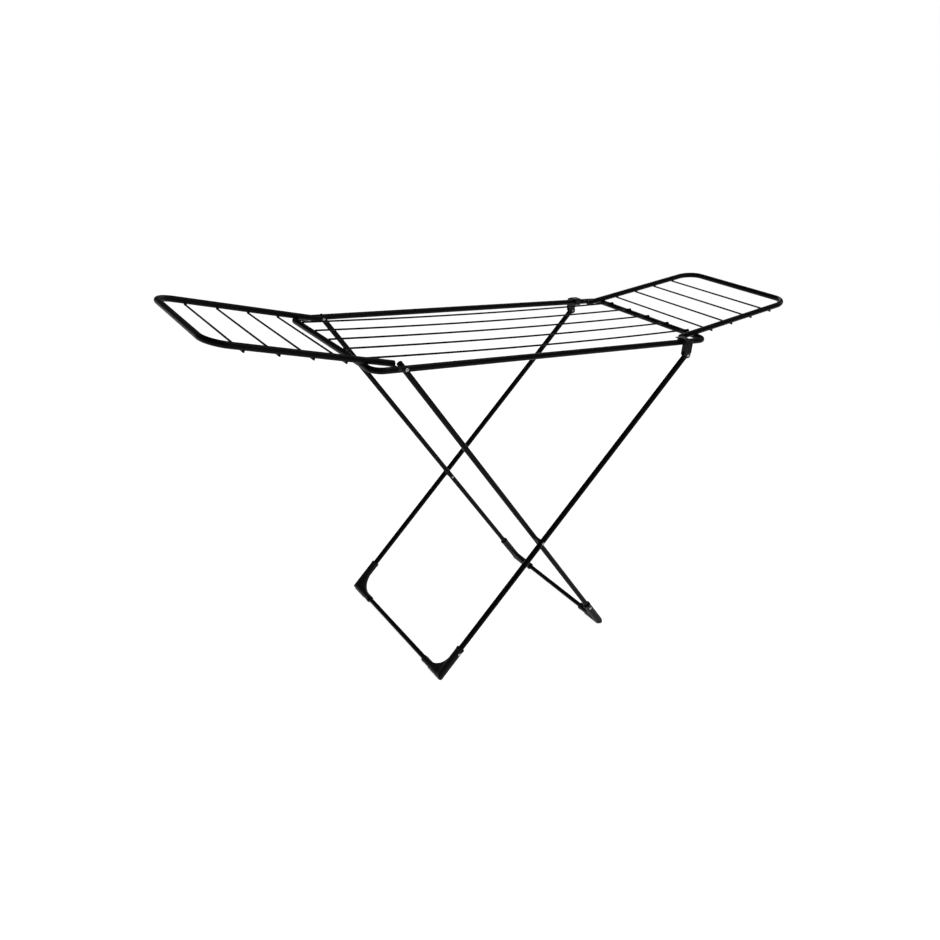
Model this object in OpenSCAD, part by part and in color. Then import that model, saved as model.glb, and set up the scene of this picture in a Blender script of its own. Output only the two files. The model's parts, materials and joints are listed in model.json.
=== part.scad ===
// Folding clothes drying rack: a wired table with two folding wings on crossed legs.
// Millimetres. +Z is up, X runs along the table, Y across it. The floor is z = 0 and
// the origin is the middle of the footprint. Front pieces are at -Y, back pieces at +Y.

/* [Table] */
// Height of the table tube's axis above the floor
table_h = 905; // [860:5:940]
// Half length of the table, to the axis of its end bars
table_half_len = 532; // [526:1:560]
// Half width of the table, to the axis of its long tubes
table_half_wid = 245; // [235:1:270]
// Bend radius of the table's corners, on the tube's axis
table_bend = 30; // [26:1:34]
// Outer diameter of the table and wing tubes
frame_d = 16; // [15:0.5:18]
// Wall of every steel tube
wall = 0.7; // [0.6:0.1:1.2]
// How far the hanging wires sag at mid span
wire_sag = 7; // [4:0.5:9]

/* [Wires] */
// Diameter of the hanging wires
wire_d = 5; // [4:0.1:5.2]
// Distance between neighbouring wires of the table
table_pitch = 85; // [76:1:86]
// Distance between neighbouring wires of a wing, and from the first to the end bar
wing_pitch = 81; // [74:1:84]

/* [Wings] */
// Distance from the middle of the table to a wing's hinge axis
wing_hinge_x = 468; // [465:1:469]
// Height of the wing's hinge axis above the table tube's axis
wing_hinge_up = 1.7; // [1.5:0.1:2]
// Height of the wing tube's axis above its hinge axis, square to the tube
wing_tube_up = 3; // [2.8:0.1:3.2]
// Angle of an opened wing above the table
wing_tilt = 10.6; // [10.6:0.1:12]
// Length of a wing from its hinge axis to the axis of its end bar
wing_len = 441; // [420:1:450]
// Bend radius of a wing's corners, on the tube's axis
wing_bend = 52; // [40:1:65]

/* [Legs] */
// Outer diameter of the inner leg tubes
inner_d = 15; // [14:0.5:16]
// Outer diameter of the outer leg tubes
outer_d = 16; // [15:0.5:16]
// Outer diameter of the two crossbars
bar_d = 14; // [13:0.5:14]
// Distance from the middle of the table to the inner legs' pivot
inner_top_x = 449; // [446:1:451]
// Distance from the middle of the footprint to the inner legs' feet
inner_foot_x = 305; // [298:1:312]
// Distance from the middle of the footprint to the outer legs' feet
outer_foot_x = 293; // [286:1:300]
// Distance from the middle of the table to the clips' pivot on the outer legs
clip_pivot_x = 442; // [440:1:444]
// Depth of the clips' pivot below the table tube's axis
clip_pivot_drop = 31.5; // [31:0.5:34]

/* [Fits] */
// Gap between the outer legs and the table tubes
gap_outer = 2.4; // [2.2:0.1:3]
// Gap between the table tubes and the inner legs, which a washer fills
gap_washer = 1.6; // [1.6:0.1:2]
// Gap between the inner legs and the wing tubes
gap_wing = 2; // [2:0.1:2.5]
// Radial clearance of a rivet in a part that turns on it
run_fit = 0.05; // [0.03:0.01:0.08]
// Radial clearance of a plug or a tube in a moulding it is pressed into
push_fit = 0.02; // [0.01:0.01:0.03]

/* [Mouldings] */
// Wall of the feet's sleeves
foot_wall = 3.4; // [3:0.1:3.6]
// Length of a foot's arm along the leg
foot_leg_arm = 94; // [90:1:100]
// Length of a foot's arm along the crossbar
foot_bar_arm = 90; // [86:1:96]
// Height of the crossbars' axis above the floor
foot_axis_h = 11; // [10.5:0.5:12]

/* [Hidden] */

// Radii of the tubes, of the rivets' shanks and heads
frame_r = frame_d / 2;
inner_r = inner_d / 2;
outer_r = outer_d / 2;
bar_r = bar_d / 2;
wire_r = wire_d / 2;
shank_r = 2.4;
wing_shank_r = 2;
head_r = 4.6;
tail_r = 3.6;
head_h = 1.3;

// Half widths of the four nested layers, from the inside out: wings, inner legs, table, outer legs
inner_y = table_half_wid - frame_r - gap_washer - inner_r;
wing_y = inner_y - inner_r - gap_wing - frame_r;
outer_y = table_half_wid + frame_r + gap_outer + outer_r;

// Axes of the legs: foot corner and pivot, each as [x, z]
inner_top = [-inner_top_x, table_h];
inner_foot = [inner_foot_x, foot_axis_h];
outer_top = [clip_pivot_x, table_h - clip_pivot_drop];
outer_foot = [-outer_foot_x, foot_axis_h];
inner_len = norm(inner_top - inner_foot);
outer_len = norm(outer_top - outer_foot);
inner_lean = atan2(inner_top.x - inner_foot.x, inner_top.y - inner_foot.y);
outer_lean = atan2(outer_top.x - outer_foot.x, outer_top.y - outer_foot.y);

// Where the legs cross, as the distance from each foot corner along each leg
foot_gap = inner_foot.x - outer_foot.x;
cross_inner = foot_gap * cos(outer_lean) / sin(outer_lean - inner_lean);
cross_outer = foot_gap * cos(inner_lean) / sin(outer_lean - inner_lean);

// Wires lie on the tubes and sink this far into them at the welds
weld_depth = 0.4;
wire_lift = frame_r + wire_r - weld_depth;
wire_overhang = 1;

// Ends of the tubes past their pivots, and the plastic caps on them
inner_past = 12;
wing_past = 5;
cap_h = 2.8;
plug_len = 18;

// Leg tubes stop short of a foot's corner, and so do the crossbars
leg_end_gap = 14;
bar_end_gap = 12;
foot_rivet_at = 78;
rivet_bulb = 3;

// The feet: the web between the arms and its hollow edge, which runs out over the crossbar's
// sleeve and leaves this wall above the bar, the bands at the sleeves' mouths, the flat sole
// under the crossbar's sleeve and what is cut off below the floor
web_t = 12;
web_hollow = 52;
web_over_bar = 1.6;
band_w = 8;
band_h = 0.7;
sole_w = 14;
sole_len = 64;
below_floor = 200;

// The outer legs' tips: where the tube ends below the pivot, and the tongue's size
tip_drop = 14;
tip_collar = 3;
tongue_w = 16;
tongue_t = 7.6;

// The clips, measured from their pivot and from the table tube's axis
clip_left = -12;
clip_right = 7.5;
clip_floor = 10.3;
clip_cheek = [[clip_left, clip_floor], [clip_left, 0], [-7, -5], [clip_right, clip_floor]];
clip_roof = 13;
clip_shoulder = 7;
clip_boss_r = 9;
clip_out = outer_y + outer_r + 1.2;
clip_in = table_half_wid + frame_r + 1.2;
clip_slot_r = frame_r + 0.6;
clip_wall = 4.8;
clip_wall_low = 24;
clip_step = 1.4;
clip_rib = [2.4, 1.1];
clip_ribs = 4;
clip_tab = [9, 12, 2.6];
tongue_slack = 0.25;

steel_black = [0.07, 0.07, 0.075];
plastic_black = [0.04, 0.04, 0.042];
bright_steel = [0.72, 0.73, 0.75];

$fn = 64;

// ---- shared shapes ----

// A straight tube along +Z
module tube(length, d) {
    difference() {
        cylinder(h = length, d = d);
        translate([0, 0, -1]) cylinder(h = length + 2, d = d - 2 * wall);
    }
}

// A quarter bend of tube from the +X axis to the +Y axis, about the origin
module elbow(bend, d) {
    rotate_extrude(angle = 90) translate([bend, 0]) difference() {
        circle(d = d);
        circle(d = d - 2 * wall);
    }
}

// A straight tube along +X that starts at the given x
module tube_x(x, length, d) {
    translate([x, 0, 0]) rotate([0, 90, 0]) tube(length, d);
}

// A straight tube along Y, centred
module tube_y(length, d) {
    translate([0, -length / 2, 0]) rotate([-90, 0, 0]) tube(length, d);
}

// A hole or a shank along +Y between two y values
module rod_y(y_from, y_to, r) {
    translate([0, y_from, 0]) rotate([-90, 0, 0]) cylinder(h = y_to - y_from, r = r);
}

// A low rivet head that stands on the plane y = 0 towards +Y
module rivet_head(r, h) {
    rotate([-90, 0, 0]) intersection() {
        translate([0, 0, h - 2 * r]) sphere(r = 2 * r);
        cylinder(h = h, r = r);
    }
}

// A rivet along Y: the made head outside y_from, the smaller closed head past y_to
module rivet(y_from, y_to, r) {
    rod_y(y_from, y_to, r);
    translate([0, y_to, 0]) rivet_head(tail_r, head_h);
    translate([0, y_from, 0]) mirror([0, 1, 0]) rivet_head(head_r, head_h);
}

// Puts its children on an inner or outer leg: origin at the foot's corner, +Z up the leg
module on_inner(s = 0) {
    translate([inner_foot.x, 0, inner_foot.y]) rotate([0, inner_lean, 0])
        translate([0, 0, s]) children();
}
module on_outer(s = 0) {
    translate([outer_foot.x, 0, outer_foot.y]) rotate([0, outer_lean, 0])
        translate([0, 0, s]) children();
}

// The same child at the front and, mirrored, at the back
module both_sides() {
    children();
    mirror([0, 1, 0]) children();
}

// A plug with a domed cap, on the tube's end at z = 0
module end_cap(d) {
    translate([0, 0, -plug_len]) cylinder(h = plug_len, r = d / 2 - wall - push_fit);
    intersection() {
        cylinder(h = cap_h, d = d);
        translate([0, 0, cap_h - d]) sphere(r = d);
    }
}

// ---- legs ----

module inner_leg() {
    color(steel_black) difference() {
        on_inner(leg_end_gap) translate([0, -inner_y, 0])
            tube(inner_len + inner_past - leg_end_gap, inner_d);
        on_inner(inner_len) rod_y(-inner_y - inner_d, -inner_y + inner_d, shank_r + run_fit);
        on_inner(cross_inner) rod_y(-inner_y - inner_d, -inner_y + inner_d, shank_r + push_fit);
        on_inner(foot_rivet_at) rod_y(-inner_y - inner_d, -inner_y, wing_shank_r + push_fit);
    }
}

module outer_leg() {
    color(steel_black) difference() {
        on_outer(leg_end_gap) translate([0, -outer_y, 0])
            tube(outer_len - tip_drop - leg_end_gap, outer_d);
        on_outer(cross_outer) rod_y(-outer_y - outer_d, -outer_y + outer_d, shank_r + run_fit);
        on_outer(foot_rivet_at) rod_y(-outer_y - outer_d, -outer_y, wing_shank_r + push_fit);
    }
}

module inner_crossbar() {
    color(steel_black) translate([inner_foot.x, 0, inner_foot.y])
        tube_y(2 * (inner_y - bar_end_gap), bar_d);
}

module outer_crossbar() {
    color(steel_black) translate([outer_foot.x, 0, outer_foot.y])
        tube_y(2 * (outer_y - bar_end_gap), bar_d);
}

// A moulded corner foot at the front: one sleeve up the leg and one along the crossbar, mitred
// at the corner, a thick web with a hollow edge between them, and a flat sole on the floor
module foot(leg_d, corner, lean, y) {
    leg_sleeve = leg_d / 2 + foot_wall;
    bar_sleeve = bar_r + foot_wall;
    web_side = web_hollow + bar_sleeve;
    web_low = bar_r + web_over_bar;
    color(plastic_black) translate([corner.x, -y, corner.y]) difference() {
        union() {
            rotate([0, lean, 0]) {
                cylinder(h = foot_leg_arm, r = leg_sleeve);
                translate([0, 0, foot_leg_arm - band_w]) cylinder(h = band_w, r = leg_sleeve + band_h);
                intersection() {
                    translate([0, 0, -corner.y]) cylinder(h = 2 * corner.y, r = leg_sleeve);
                    rod_y(-leg_sleeve, leg_sleeve, bar_sleeve);
                }
            }
            difference() {
                union() {
                    rotate([0, lean, 0]) translate([-web_t / 2, 0, 0]) cube([web_t, web_side, web_side]);
                    rod_y(0, foot_bar_arm, bar_sleeve);
                    rod_y(foot_bar_arm - band_w, foot_bar_arm, bar_sleeve + band_h);
                }
                rotate([0, lean, 0]) translate([-web_side, 0, 0]) rotate([90, 0, 90])
                    linear_extrude(2 * web_side) {
                        translate([web_side, web_low + web_hollow]) circle(r = web_hollow);
                        translate([web_side, web_low]) square([foot_bar_arm, 2 * web_hollow]);
                    }
            }
            translate([-sole_w / 2, -leg_sleeve / 2, -corner.y]) cube([sole_w, sole_len, corner.y]);
        }
        rotate([0, lean, 0]) {
            translate([0, 0, leg_end_gap]) cylinder(h = inner_len, r = leg_d / 2 + push_fit);
            translate([0, 0, foot_rivet_at]) rod_y(-leg_d, 0, wing_shank_r + push_fit);
        }
        rod_y(bar_end_gap, inner_len, bar_r + push_fit);
        translate([-below_floor / 2, -below_floor / 2, -corner.y - below_floor]) cube(below_floor);
    }
}

module inner_foot() {
    foot(inner_d, inner_foot, inner_lean, inner_y);
}

module outer_foot() {
    foot(outer_d, outer_foot, outer_lean, outer_y);
}

// Blind rivets from outside that hold the feet on the legs: a head on the sleeve and a bulb in
// the tube
module foot_rivet(leg_d, y) {
    bulb_y = wall + push_fit;
    translate([0, -y, 0]) {
        rod_y(-leg_d / 2 - foot_wall, -leg_d / 2 + bulb_y + rivet_bulb, wing_shank_r);
        translate([0, -leg_d / 2 - foot_wall, 0]) mirror([0, 1, 0]) rivet_head(head_r, head_h);
    }
}

module inner_foot_rivets() {
    color(bright_steel) both_sides() on_inner(foot_rivet_at) foot_rivet(inner_d, inner_y);
}

module outer_foot_rivets() {
    color(bright_steel) both_sides() on_outer(foot_rivet_at) foot_rivet(outer_d, outer_y);
}

module inner_leg_caps() {
    color(plastic_black) both_sides() difference() {
        on_inner(inner_len + inner_past) translate([0, -inner_y, 0]) end_cap(inner_d);
        on_inner(inner_len) rod_y(-inner_y - inner_d, -inner_y + inner_d, shank_r + 0.6);
    }
}

// The rivets that the two leg frames turn on, and the spacers that leave room for the table
module crossing_rivets() {
    color(bright_steel) both_sides() on_inner(cross_inner)
        rivet(-outer_y - outer_r, -inner_y + inner_r, shank_r);
}

module crossing_spacers() {
    spacer_r = 6;
    end_play = 0.1;
    color(plastic_black) both_sides() on_inner(cross_inner) difference() {
        rod_y(-outer_y + outer_r + end_play, -inner_y - inner_r, spacer_r);
        rod_y(-outer_y, -inner_y, shank_r + push_fit);
    }
}

// ---- clips on the outer legs ----

// A plug in the tube's end with a flat tongue that the clip turns on
module outer_tip() {
    color(plastic_black) on_outer(outer_len - tip_drop) translate([0, -outer_y, 0]) difference() {
        union() {
            translate([0, 0, -plug_len]) cylinder(h = plug_len, r = outer_r - wall - push_fit);
            cylinder(h = tip_collar, r = outer_r);
            intersection() {
                union() {
                    translate([-tongue_w / 2, -tongue_t / 2, 0]) cube([tongue_w, tongue_t, tip_drop]);
                    translate([0, 0, tip_drop]) rod_y(-tongue_t / 2, tongue_t / 2, tongue_w / 2);
                }
                translate([0, 0, tip_drop]) sphere(r = 2 * tongue_w);
            }
        }
        translate([0, 0, tip_drop]) rod_y(-tongue_t, tongue_t, shank_r + push_fit);
    }
}

module clip_rivets() {
    color(bright_steel) both_sides() translate([outer_top.x, 0, outer_top.y]) {
        rod_y(-clip_out, -clip_in - 0.2, shank_r);
        translate([0, -clip_out, 0]) mirror([0, 1, 0]) rivet_head(head_r, head_h);
    }
}

// A clip at the front. Its stepped, ribbed body stands beside the table's tube. The roof slopes up
// from the body and reaches over the tube to a wall behind, so the tube lies in a channel that is
// open below. Two cheeks hold the tongue of the leg's tip.
module clip() {
    body_w = clip_right - clip_left;
    top = clip_pivot_drop + clip_roof;
    body_top = top - clip_shoulder;
    thick = clip_out - clip_in;
    wall_in = table_half_wid - clip_slot_r - clip_wall;
    rib_pitch = (body_w - clip_rib.x) / (clip_ribs - 1);
    step_low = clip_floor / 2;
    channel_low = -2 * clip_boss_r;
    color(plastic_black) translate([outer_top.x, 0, outer_top.y]) difference() {
        union() {
            rod_y(-clip_out, -clip_in, clip_boss_r);
            translate([0, -clip_in, 0]) rotate([90, 0, 0]) linear_extrude(thick) polygon(clip_cheek);
            translate([clip_left, -clip_out, clip_floor])
                cube([body_w, thick, body_top - clip_floor]);
            translate([clip_left, -clip_out - clip_step, step_low])
                cube([body_w, thick, body_top - step_low]);
            translate([clip_left, 0, 0]) rotate([90, 0, 90]) linear_extrude(body_w) polygon([
                [-clip_out - clip_step, body_top], [-clip_in - 1, top], [-wall_in, top],
                [-wall_in, clip_pivot_drop], [-clip_out, clip_pivot_drop]
            ]);
            translate([clip_left, -wall_in - clip_wall, clip_wall_low])
                cube([body_w, clip_wall, top - clip_wall_low]);
            translate([clip_left - clip_tab.x, -wall_in - clip_tab.y, top - clip_tab.z])
                cube(clip_tab + [1, 0, 0]);
            for (i = [0 : clip_ribs - 1])
                translate([clip_left + i * rib_pitch, -clip_out - clip_step - clip_rib.y, step_low])
                    cube([clip_rib.x, clip_rib.y + 1, body_top - step_low - clip_rib.x]);
        }
        translate([clip_left - body_w, -table_half_wid, clip_pivot_drop]) rotate([0, 90, 0])
            cylinder(h = 3 * body_w, r = clip_slot_r);
        translate([clip_left - body_w, -table_half_wid - clip_slot_r, channel_low])
            cube([3 * body_w, 2 * clip_slot_r, clip_pivot_drop - channel_low]);
        translate([clip_left - body_w, -outer_y - tongue_t / 2 - tongue_slack, clip_floor - 3 * body_w])
            cube([3 * body_w, tongue_t + 2 * tongue_slack, 3 * body_w]);
        rod_y(-clip_out - thick, -clip_in + clip_rib.y, shank_r + run_fit);
    }
}

// ---- table ----

module table_frame() {
    straight = table_half_len - table_bend;
    across = table_half_wid - table_bend;
    seam = 0.2;
    color(steel_black) translate([0, 0, table_h]) difference() {
        union() {
            translate([0, -table_half_wid, 0]) tube_x(-straight, 2 * straight, frame_d);
            for (side = [0, 1]) mirror([side, 0, 0]) {
                translate([0, table_half_wid, 0]) tube_x(seam, straight - seam, frame_d);
                translate([table_half_len, 0, 0]) tube_y(2 * across, frame_d);
                translate([straight, across, 0]) elbow(table_bend, frame_d);
                mirror([0, 1, 0]) translate([straight, across, 0]) elbow(table_bend, frame_d);
            }
        }
        for (side = [-1, 1]) {
            translate([-inner_top_x, side * table_half_wid, 0])
                rod_y(-frame_d, frame_d, shank_r + push_fit);
            for (end = [-1, 1])
                translate([end * wing_hinge_x, side * table_half_wid, wing_hinge_up])
                    rod_y(-frame_d, frame_d, wing_shank_r + push_fit);
        }
    }
}

// The sleeve inside the tube that joins the frame's two ends
module table_joiner() {
    joiner_len = 60;
    color(bright_steel) translate([-joiner_len / 2, table_half_wid, table_h]) rotate([0, 90, 0])
        tube(joiner_len, frame_d - 2 * wall - 2 * push_fit);
}

// Wires are numbered from the back. Each lies on the end bars and sags between them, as two
// equal arcs that meet at mid span.
module table_wire(i) {
    half = table_half_len + wire_overhang;
    bend_r = (half * half + wire_sag * wire_sag) / (2 * wire_sag);
    color(steel_black) translate([0, (3 - i) * table_pitch, table_h + wire_lift - wire_sag + bend_r])
        for (side = [0, 1]) mirror([side, 0, 0]) rotate([90, 0, 0]) rotate([0, 0, -90])
            rotate_extrude(angle = asin(half / bend_r), $fn = 3600)
                translate([bend_r, 0]) circle(r = wire_r, $fn = 24);
}

module table_pivot_rivets() {
    color(bright_steel) both_sides() translate([inner_top.x, 0, inner_top.y])
        rivet(-table_half_wid - frame_r, -inner_y + inner_r, shank_r);
}

module table_pivot_washers() {
    washer_r = 6;
    end_play = 0.1;
    color(bright_steel) both_sides() translate([inner_top.x, 0, inner_top.y]) difference() {
        rod_y(-table_half_wid + frame_r, -inner_y - inner_r - end_play, washer_r);
        rod_y(-table_half_wid, -inner_y, shank_r + push_fit);
    }
}

module wing_rivets() {
    color(bright_steel) both_sides() translate([wing_hinge_x, 0, table_h + wing_hinge_up])
        rivet(-table_half_wid - frame_r, -wing_y + frame_r, wing_shank_r);
}

module wing_bushes() {
    bush_r = 3.5;
    end_play = 0.3;
    color(plastic_black) both_sides() translate([wing_hinge_x, 0, table_h + wing_hinge_up])
        difference() {
            rod_y(-table_half_wid + frame_r, -wing_y - frame_r - end_play, bush_r);
            rod_y(-table_half_wid, -wing_y, wing_shank_r + push_fit);
        }
}

// ---- wings ----

// Puts its children on the opened right wing: origin on the hinge axis, +X along the wing
module on_wing() {
    translate([wing_hinge_x, 0, table_h + wing_hinge_up]) rotate([0, -wing_tilt, 0]) children();
}

module wing_frame() {
    straight = wing_len - wing_bend;
    across = wing_y - wing_bend;
    color(steel_black) on_wing() difference() {
        translate([0, 0, wing_tube_up]) {
            for (side = [0, 1]) mirror([0, side, 0]) {
                translate([0, wing_y, 0]) tube_x(-wing_past, straight + wing_past, frame_d);
                translate([straight, across, 0]) elbow(wing_bend, frame_d);
            }
            translate([wing_len, 0, 0]) tube_y(2 * across, frame_d);
        }
        for (side = [-1, 1])
            translate([0, side * wing_y, 0]) rod_y(-frame_d, frame_d, wing_shank_r + run_fit);
    }
}

// Wires are numbered from the wing's end bar, and are welded under its tubes
module wing_wire(i) {
    half = wing_y + frame_r - 4;
    color(steel_black) on_wing() translate([wing_len - i * wing_pitch, 0, wing_tube_up - wire_lift])
        rod_y(-half, half, wire_r, $fn = 24);
}

module wing_caps() {
    color(plastic_black) on_wing() both_sides() difference() {
        translate([-wing_past, -wing_y, wing_tube_up]) rotate([0, -90, 0]) end_cap(frame_d);
        translate([0, -wing_y, 0]) rod_y(-frame_d, frame_d, wing_shank_r + 0.6);
    }
}

// ---- what is drawn ----

inner_leg();  // inner_leg_front
mirror([0, 1, 0]) inner_leg();  // inner_leg_back
inner_crossbar();
inner_foot();  // inner_foot_front
mirror([0, 1, 0]) inner_foot();  // inner_foot_back
inner_leg_caps();
inner_foot_rivets();
crossing_rivets();
crossing_spacers();
outer_leg();  // outer_leg_front
mirror([0, 1, 0]) outer_leg();  // outer_leg_back
outer_crossbar();
outer_foot();  // outer_foot_front
mirror([0, 1, 0]) outer_foot();  // outer_foot_back
outer_tip();  // outer_tip_front
mirror([0, 1, 0]) outer_tip();  // outer_tip_back
outer_foot_rivets();
clip_rivets();
clip();  // clip_front
mirror([0, 1, 0]) clip();  // clip_back
table_frame();
table_joiner();
table_wire(1);  // table_wire_1
table_wire(2);  // table_wire_2
table_wire(3);  // table_wire_3
table_wire(4);  // table_wire_4
table_wire(5);  // table_wire_5
table_pivot_rivets();
table_pivot_washers();
mirror([1, 0, 0]) wing_rivets();  // wing_left_rivets
wing_rivets();  // wing_right_rivets
mirror([1, 0, 0]) wing_bushes();  // wing_left_bushes
wing_bushes();  // wing_right_bushes
mirror([1, 0, 0]) wing_frame();  // wing_left_frame
mirror([1, 0, 0]) wing_wire(1);  // wing_left_wire_1
mirror([1, 0, 0]) wing_wire(2);  // wing_left_wire_2
mirror([1, 0, 0]) wing_wire(3);  // wing_left_wire_3
mirror([1, 0, 0]) wing_wire(4);  // wing_left_wire_4
mirror([1, 0, 0]) wing_caps();  // wing_left_caps
wing_frame();  // wing_right_frame
wing_wire(1);  // wing_right_wire_1
wing_wire(2);  // wing_right_wire_2
wing_wire(3);  // wing_right_wire_3
wing_wire(4);  // wing_right_wire_4
wing_caps();  // wing_right_caps
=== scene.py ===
"""A folding clothes drying rack: black tube frames, coated wires, moulded feet and clips.

The CAD frame holds the shapes. This script adds the moulded skins of the feet and clips, the weld
beads, and every material, then the floor, the lights and the camera.
"""
import json
import math

import bmesh
import bpy
from mathutils import Matrix, Vector, noise


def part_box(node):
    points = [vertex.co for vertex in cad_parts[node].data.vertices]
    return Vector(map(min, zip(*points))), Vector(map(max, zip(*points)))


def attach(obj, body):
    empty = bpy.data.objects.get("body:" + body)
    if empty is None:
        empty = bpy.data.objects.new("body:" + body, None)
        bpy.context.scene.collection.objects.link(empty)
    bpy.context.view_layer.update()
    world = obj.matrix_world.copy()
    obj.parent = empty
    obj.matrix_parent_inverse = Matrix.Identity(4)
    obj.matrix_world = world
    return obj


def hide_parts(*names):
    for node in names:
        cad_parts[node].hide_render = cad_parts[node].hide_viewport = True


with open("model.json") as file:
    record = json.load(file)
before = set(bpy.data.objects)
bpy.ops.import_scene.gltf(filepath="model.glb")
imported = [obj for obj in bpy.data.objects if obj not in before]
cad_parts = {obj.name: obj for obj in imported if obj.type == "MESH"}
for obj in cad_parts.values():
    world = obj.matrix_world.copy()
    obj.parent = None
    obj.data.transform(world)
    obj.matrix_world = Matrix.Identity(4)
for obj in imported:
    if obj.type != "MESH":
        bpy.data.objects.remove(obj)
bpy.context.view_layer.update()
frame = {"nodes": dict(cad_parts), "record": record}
NODES = frame["nodes"]

MM = 0.001

# A weld bead: half its size along the wire, across it and off the tube, how lumpy it is, and how
# far it sits beside the wire's axis and off the tube
BEAD_SIZE = (3.1 * MM, 1.5 * MM, 1.2 * MM)
BEAD_LUMPS = 0.16
BEAD_OFFSET = 2.4 * MM
BEAD_LIFT = 0.5 * MM

# The soft lamps: name, place, size and watts
LAMPS = (
    ("lamp_top", (0.9, -0.3, 3.8), 2.0, 30),
    ("lamp_front", (0.7, -3.6, 2.6), 1.2, 15),
    ("lamp_right", (3.2, -0.6, 2.4), 1.2, 12),
    ("lamp_back", (2.6, 2.6, 2.4), 1.2, 12),
)
LAMPS_AIM = Vector((0, 0, 0.5))

# How brightly the white room lights the rack, where the camera sees it at 1
ROOM_LIGHT = 0.12
FLOOR_REACH = 30

# ---- camera ----

CAMERA_AT = Vector((-1.4364, -2.0037, 1.5205))
CAMERA_TURN = math.radians(-34.14)
CAMERA_PITCH = math.radians(-23.03)
CAMERA_ROLL = math.radians(5.22)
SENSOR_WIDTH = 36.0
LENS = 34.557


def make_camera():
    """The camera stands at the left front, above the table, and leans a little."""
    camera = bpy.data.objects.new("camera", bpy.data.cameras.new("camera"))
    bpy.context.scene.collection.objects.link(camera)
    camera.data.sensor_width = SENSOR_WIDTH
    camera.data.lens = LENS
    camera.data.clip_start = 0.05
    camera.data.clip_end = 60
    turn = Matrix.Rotation(CAMERA_TURN, 4, "Z")
    pitch = Matrix.Rotation(math.pi / 2 + CAMERA_PITCH, 4, "X")
    roll = Matrix.Rotation(CAMERA_ROLL, 4, "Z")
    camera.matrix_world = Matrix.Translation(CAMERA_AT) @ turn @ pitch @ roll
    bpy.context.scene.camera = camera


# ---- materials ----


class Nodes:
    """Short names for building a material's node tree."""

    def __init__(self, name):
        self.material = bpy.data.materials.new(name)
        self.material.use_nodes = True
        self.tree = self.material.node_tree
        self.shader = self.tree.nodes["Principled BSDF"]
        self.place = self.tree.nodes.new("ShaderNodeTexCoord").outputs["Object"]

    def link(self, source, target):
        self.tree.links.new(source, target)

    def noise(self, scale, detail=3.0, roughness=0.5, stretch=(1, 1, 1)):
        """Noise over the object's own metres. scale is in features per metre."""
        mapping = self.tree.nodes.new("ShaderNodeMapping")
        mapping.inputs["Scale"].default_value = stretch
        self.link(self.place, mapping.inputs["Vector"])
        texture = self.tree.nodes.new("ShaderNodeTexNoise")
        texture.inputs["Scale"].default_value = scale
        texture.inputs["Detail"].default_value = detail
        texture.inputs["Roughness"].default_value = roughness
        self.link(mapping.outputs["Vector"], texture.inputs["Vector"])
        return texture.outputs["Fac"]

    def cells(self, scale):
        """Small round cells, as a moulded grain has."""
        texture = self.tree.nodes.new("ShaderNodeTexVoronoi")
        texture.inputs["Scale"].default_value = scale
        self.link(self.place, texture.inputs["Vector"])
        return texture.outputs["Distance"]

    def spread(self, value, low, high, start=0.3, stop=0.7):
        """The value, taken from start..stop to low..high."""
        node = self.tree.nodes.new("ShaderNodeMapRange")
        node.inputs["From Min"].default_value = start
        node.inputs["From Max"].default_value = stop
        node.inputs["To Min"].default_value = low
        node.inputs["To Max"].default_value = high
        self.link(value, node.inputs["Value"])
        return node.outputs["Result"]

    def blend(self, factor, first, second):
        """A colour between two colours, each of them constant or an output of another node."""
        node = self.tree.nodes.new("ShaderNodeMix")
        node.data_type = "RGBA"
        self.link(factor, node.inputs["Factor"])
        for colour, socket in ((first, node.inputs["A"]), (second, node.inputs["B"])):
            if isinstance(colour, tuple):
                socket.default_value = (*colour, 1)
            else:
                self.link(colour, socket)
        return node.outputs["Result"]

    def bump(self, height, distance, strength=1.0, under=None):
        """A bump of that many metres, over another bump if one is given."""
        node = self.tree.nodes.new("ShaderNodeBump")
        node.inputs["Distance"].default_value = distance
        node.inputs["Strength"].default_value = strength
        self.link(height, node.inputs["Height"])
        if under is not None:
            self.link(under, node.inputs["Normal"])
        return node.outputs["Normal"]

    def set(self, **values):
        """Sets or links the shader's sockets; an underscore stands for a space."""
        for name, value in values.items():
            socket = self.shader.inputs[name.replace("_", " ")]
            if isinstance(value, bpy.types.NodeSocket):
                self.link(value, socket)
            elif isinstance(value, tuple):
                socket.default_value = (*value, 1)
            else:
                socket.default_value = value
        return self.material


def powder_coat():
    """Satin black powder coat: orange peel, fine pinholes and a slightly dusty bloom."""
    n = Nodes("powder_coat")
    bloom = n.noise(38, detail=4, roughness=0.6)
    grain = n.noise(2600, detail=2)
    colour = n.blend(n.spread(bloom, 0, 1), (0.0008, 0.0008, 0.0009), (0.002, 0.002, 0.0022))
    peel = n.bump(n.noise(700, detail=2), 0.00006, 0.55)
    fine = n.bump(grain, 0.00002, 0.4, under=peel)
    rough = n.spread(n.noise(160, detail=5, roughness=0.65), 0.3, 0.42)
    return n.set(Base_Color=colour, Roughness=rough, Normal=fine, Specular_IOR_Level=0.06)


def wire_coat():
    """A smoother, slightly glossier dip coat on the thin wires."""
    n = Nodes("wire_coat")
    bloom = n.noise(60, detail=3)
    colour = n.blend(n.spread(bloom, 0, 1), (0.0006, 0.0006, 0.0007), (0.0016, 0.0016, 0.0018))
    skin = n.bump(n.noise(420, detail=3), 0.00008, 0.5)
    rough = n.spread(n.noise(240, detail=4), 0.24, 0.38)
    return n.set(Base_Color=colour, Roughness=rough, Normal=skin, Specular_IOR_Level=0.04)


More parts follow.
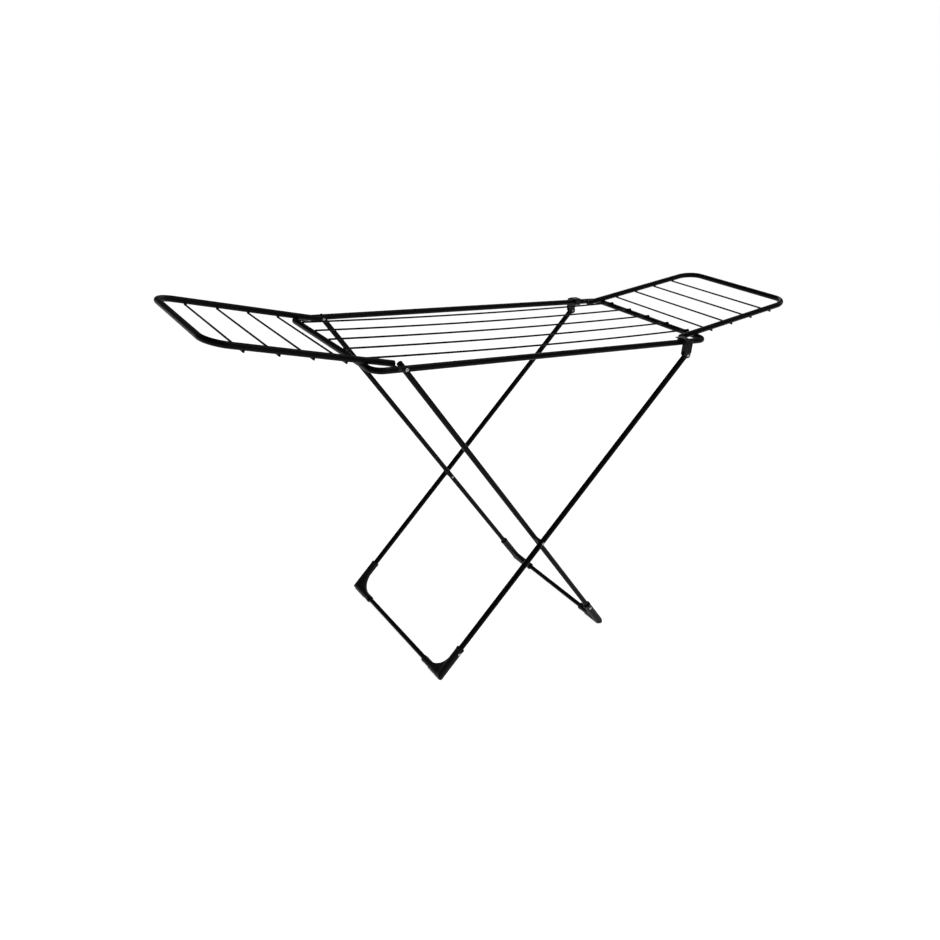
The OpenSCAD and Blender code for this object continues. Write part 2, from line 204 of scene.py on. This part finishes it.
def moulded_plastic():
    """Fine-grained black polypropylene: spark-eroded grain, mild scuffs on what stands proud."""
    n = Nodes("moulded_plastic")
    geometry = n.tree.nodes.new("ShaderNodeNewGeometry")
    edges = n.spread(geometry.outputs["Pointiness"], 0, 1, start=0.52, stop=0.6)
    cloud = n.noise(55, detail=5, roughness=0.6)
    body = n.blend(n.spread(cloud, 0, 1), (0.0018, 0.0018, 0.002), (0.004, 0.004, 0.0043))
    colour = n.blend(edges, body, (0.01, 0.01, 0.0105))
    grain = n.bump(n.cells(1500), 0.00009, 0.5)
    skin = n.bump(n.noise(210, detail=4), 0.00012, 0.35, under=grain)
    rough = n.spread(n.noise(120, detail=5, roughness=0.7), 0.4, 0.58)
    return n.set(Base_Color=colour, Roughness=rough, Normal=skin, Specular_IOR_Level=0.14)


def zinc_steel(name, dark, light):
    """Zinc-plated steel, brushed by the press and a little uneven, between two colours."""
    n = Nodes(name)
    tone = n.noise(300, detail=4, roughness=0.6)
    colour = n.blend(n.spread(tone, 0, 1), dark, light)
    lines = n.bump(n.noise(900, detail=2, stretch=(1, 1, 14)), 0.00003, 0.35)
    rough = n.spread(n.noise(500, detail=3), 0.2, 0.36)
    return n.set(Base_Color=colour, Roughness=rough, Metallic=1.0, Normal=lines)


def weld_metal():
    """Welds under the same coat, rippled and a little rougher."""
    n = Nodes("weld_metal")
    ripple = n.noise(1500, detail=4, roughness=0.7)
    colour = n.blend(n.spread(ripple, 0, 1), (0.002, 0.002, 0.0022), (0.0045, 0.0045, 0.005))
    rough = n.spread(n.noise(800, detail=3), 0.32, 0.5)
    return n.set(Base_Color=colour, Roughness=rough, Normal=n.bump(ripple, 0.00015, 0.6),
                 Specular_IOR_Level=0.15)


# ---- pieces ----


def paint(piece, material):
    """Gives a new piece its material."""
    piece.data.materials.clear()
    piece.data.materials.append(material)


def shade_smooth(piece, angle=40):
    """Smooth shading, with edges sharper than the angle kept."""
    piece.data.polygons.foreach_set("use_smooth", [True] * len(piece.data.polygons))
    piece.data.set_sharp_from_angle(angle=math.radians(angle))


def paint_frame(materials, exceptions):
    """Every CAD node keeps its shape and takes the material of its slot, or its own exception."""
    for part in frame["record"]["subparts"]:
        node = NODES[part["node"]]
        material = exceptions.get(part["node"], materials[part["material_slot"]])
        if not node.material_slots:
            node.data.materials.append(material)
        for place in node.material_slots:
            place.link = "OBJECT"
            place.material = material
        shade_smooth(node)


def new_piece(name, mesh):
    """A new object of that mesh, in the scene."""
    piece = bpy.data.objects.new(name, mesh)
    bpy.context.scene.collection.objects.link(piece)
    return piece


def apply_modifiers(piece):
    """Turns the piece's modifiers into its mesh."""
    graph = bpy.context.evaluated_depsgraph_get()
    mesh = bpy.data.meshes.new_from_object(piece.evaluated_get(graph))
    piece.modifiers.clear()
    piece.data = mesh


def moulded_skin(node, body, grain=0.9, rounds=5):
    """A moulding with rounded edges and filleted corners in place of the CAD node's sharp ones.

    grain is the size of the remesh in millimetres, and rounds how often it is smoothed.
    """
    piece = new_piece(node + "_moulding", NODES[node].data.copy())
    remesh = piece.modifiers.new("even", "REMESH")
    remesh.mode = "VOXEL"
    remesh.voxel_size = grain * MM
    smooth = piece.modifiers.new("rounded", "SMOOTH")
    smooth.factor = 0.5
    smooth.iterations = rounds
    apply_modifiers(piece)
    paint(piece, MATERIALS["black_plastic"])
    shade_smooth(piece, angle=60)
    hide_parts(node)
    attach(piece, body)


def add_bead(mesh, at, along, up, seed):
    """Adds one weld bead: a flat lump at the point, longest along the wire and a little uneven."""
    length, width, height = BEAD_SIZE
    side = up.cross(along).normalized()
    start = len(mesh.verts)
    bmesh.ops.create_icosphere(mesh, subdivisions=3, radius=1.0)
    mesh.verts.ensure_lookup_table()
    for vertex in mesh.verts[start:]:
        lump = 1 + BEAD_LUMPS * noise.noise(vertex.co * 1.7 + Vector((seed, 0, 0)))
        x, y, z = vertex.co * lump
        vertex.co = at + along * (x * length) + side * (y * width) + up * (z * height)


def make_welds(name, body, crossings):
    """Two beads at each crossing, one on each side of the wire.

    A crossing is the point where wire and tube touch, the wire's direction and the way from the
    tube to the wire.
    """
    mesh = bmesh.new()
    for count, (point, along, up) in enumerate(crossings):
        side = up.cross(along).normalized()
        for sign in (-1, 1):
            at = point + side * (sign * BEAD_OFFSET) + up * BEAD_LIFT
            add_bead(mesh, at, along, up, 2.3 * count + sign)
    data = bpy.data.meshes.new(name)
    mesh.to_mesh(data)
    mesh.free()
    piece = new_piece(name, data)
    paint(piece, WELD_METAL)
    shade_smooth(piece, angle=80)
    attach(piece, body)


def middle(node):
    """The middle of a node's box."""
    low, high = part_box(node)
    return (low + high) / 2


def half_height(node):
    """Half the height of a node's box, which is the radius of a tube or wire that lies flat."""
    low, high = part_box(node)
    return (high.z - low.z) / 2


def table_crossings():
    """Where the table's wires lie on its end bars."""
    low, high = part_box("table_frame")
    radius = half_height("table_frame")
    spots = []
    for number in range(1, 6):
        y = middle(f"table_wire_{number}").y
        for x in (low.x + radius, high.x - radius):
            spots.append((Vector((x, y, high.z)), Vector((1, 0, 0)), Vector((0, 0, 1))))
    return spots


def wing_crossings(side):
    """Where a wing's wires pass under its two tubes."""
    low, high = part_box(f"wing_{side}_frame")
    tube = half_height("table_frame")
    wire = half_height(f"wing_{side}_wire_1")
    first, last = middle(f"wing_{side}_wire_1"), middle(f"wing_{side}_wire_4")
    outward = (first - last).normalized()
    down = outward.cross(Vector((0, 1, 0)))
    if down.z > 0:
        down.negate()
    spots = []
    for number in range(1, 5):
        centre = middle(f"wing_{side}_wire_{number}")
        for y in (low.y + tube, high.y - tube):
            point = Vector((centre.x, y, centre.z)) - down * wire
            spots.append((point, Vector((0, 1, 0)), down.copy()))
    return spots


def make_floor():
    """A plain pale floor that runs far past the object."""
    mesh = bpy.data.meshes.new("floor")
    signs = ((-1, -1), (1, -1), (1, 1), (-1, 1))
    corners = [(x * FLOOR_REACH, y * FLOOR_REACH, 0) for x, y in signs]
    mesh.from_pydata(corners, [], [(0, 1, 2, 3)])
    floor = new_piece("floor", mesh)
    n = Nodes("floor")
    n.set(Base_Color=(0.5, 0.5, 0.5), Roughness=0.9, Specular_IOR_Level=0.0,
          Emission_Color=(1.0, 1.0, 1.0), Emission_Strength=0.94)
    mesh.materials.append(n.material)


def make_light(name, at, size, watts):
    """A soft square lamp that faces the middle of the rack."""
    lamp = bpy.data.objects.new(name, bpy.data.lights.new(name, "AREA"))
    bpy.context.scene.collection.objects.link(lamp)
    lamp.data.size = size
    lamp.data.energy = watts
    lamp.location = at
    aim = LAMPS_AIM - lamp.location
    lamp.rotation_euler = aim.to_track_quat("-Z", "Y").to_euler()


def make_world():
    """A white backdrop that lights the rack more softly than it looks."""
    world = bpy.data.worlds.new("studio")
    world.use_nodes = True
    tree = world.node_tree
    path = tree.nodes.new("ShaderNodeLightPath")
    strength = tree.nodes.new("ShaderNodeMapRange")
    strength.inputs["To Min"].default_value = ROOM_LIGHT
    strength.inputs["To Max"].default_value = 1.0
    tree.links.new(path.outputs["Is Camera Ray"], strength.inputs["Value"])
    background = tree.nodes["Background"]
    background.inputs["Color"].default_value = (1, 1, 1, 1)
    tree.links.new(strength.outputs["Result"], background.inputs["Strength"])
    bpy.context.scene.world = world


def make_light_rig():
    """Soft lamps above, in front and behind, in a white room."""
    for lamp in LAMPS:
        make_light(*lamp)
    make_world()
    bpy.context.scene.view_settings.view_transform = "Standard"


make_camera()
MATERIALS = {
    "black_paint": powder_coat(),
    "coated_wire": wire_coat(),
    "black_plastic": moulded_plastic(),
    "zinc_steel": zinc_steel("zinc_steel", (0.22, 0.223, 0.23), (0.38, 0.385, 0.395)),
}
# The wing rivets take a darker copy of the same zinc, so they show dimmer than the other rivets
DARKER_ZINC = zinc_steel("darker_zinc", (0.012, 0.012, 0.013), (0.03, 0.03, 0.032))
WELD_METAL = weld_metal()
paint_frame(MATERIALS, {"wing_left_rivets": DARKER_ZINC, "wing_right_rivets": DARKER_ZINC})
for end in ("front", "back"):
    moulded_skin(f"inner_foot_{end}", "inner_legs")
    moulded_skin(f"outer_foot_{end}", "outer_legs")
    moulded_skin(f"clip_{end}", "clips", grain=0.6, rounds=4)
    moulded_skin(f"outer_tip_{end}", "outer_legs", grain=0.5, rounds=3)
moulded_skin("inner_leg_caps", "inner_legs", grain=0.5, rounds=3)
for side in ("left", "right"):
    moulded_skin(f"wing_{side}_caps", f"wing_{side}", grain=0.5, rounds=3)
make_welds("table_welds", "table", table_crossings())
make_welds("wing_left_welds", "wing_left", wing_crossings("left"))
make_welds("wing_right_welds", "wing_right", wing_crossings("right"))
make_floor()
make_light_rig()
